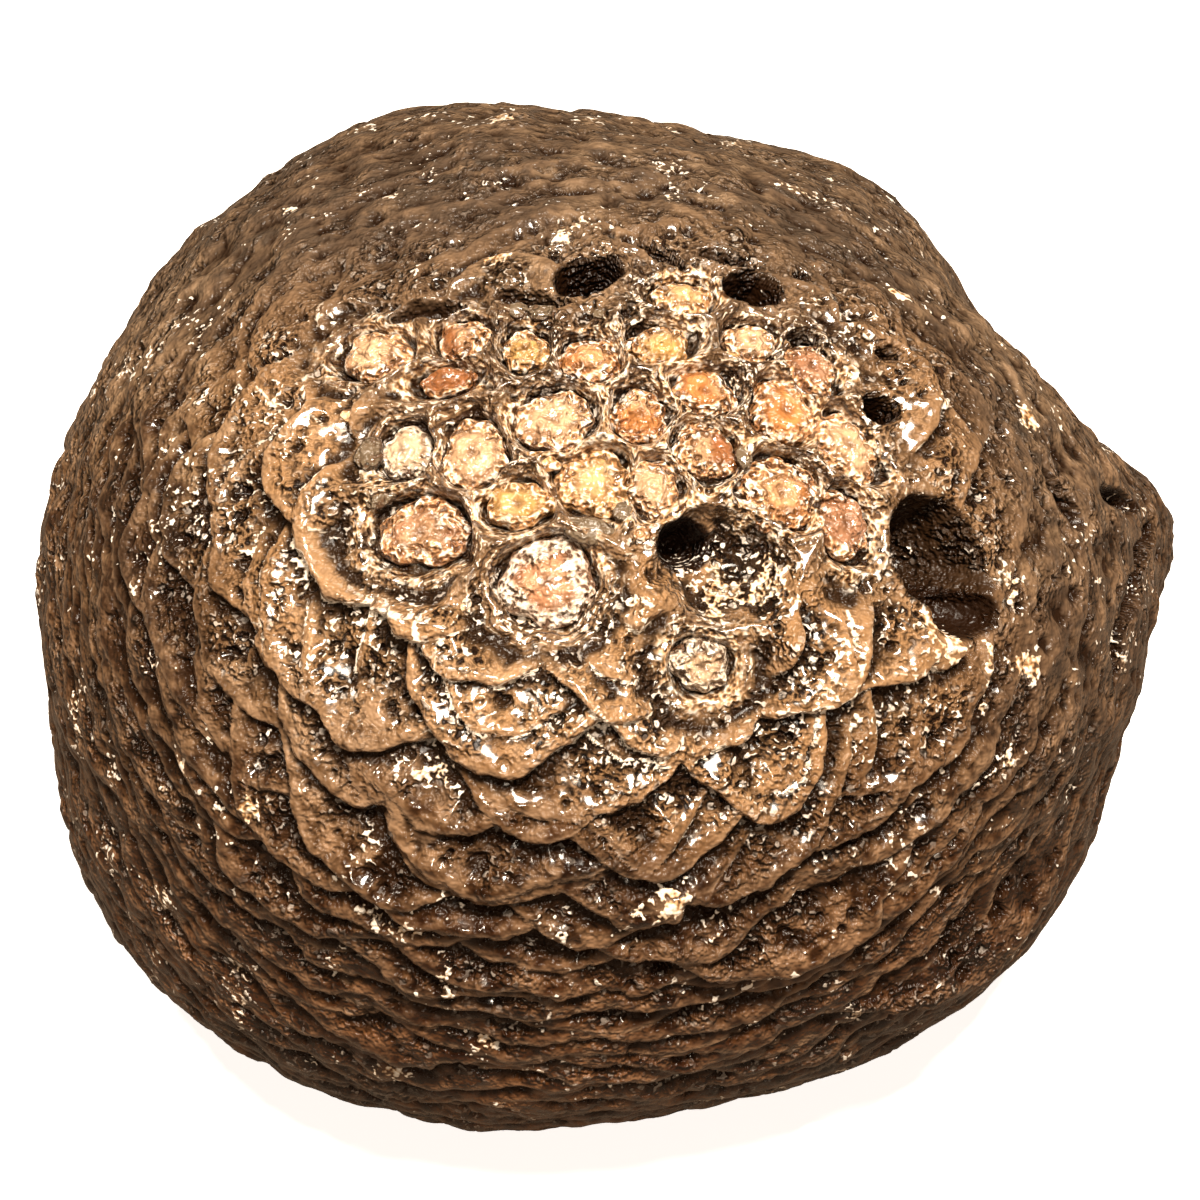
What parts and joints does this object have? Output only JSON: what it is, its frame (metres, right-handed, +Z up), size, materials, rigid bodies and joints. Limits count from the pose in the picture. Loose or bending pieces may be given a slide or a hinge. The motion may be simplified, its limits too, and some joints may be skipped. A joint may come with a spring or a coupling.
{
  "type": "fossil pine cone",
  "caption": "Petrified bun-shaped pine cone: overlapping stone scales round a worn patch of seeds in their sockets, with a few bored holes; rests on its worn flat underside.",
  "frame": {"origin": "middle of the worn flat underside that the cone rests on", "axes": "+Z up, -Y towards the worn patch of seeds on the upper front, +X to the right when facing the seeds"},
  "size_m": [0.0734, 0.07, 0.051],
  "materials": {
    "petrified_stone": "brown petrified cone, water-worn and glossy, with cream to orange seeds and pale mineral crust in the seams"
  },
  "bodies": {
    "root": {"fossil_cone": "petrified_stone"}
  },
  "joints": []
}
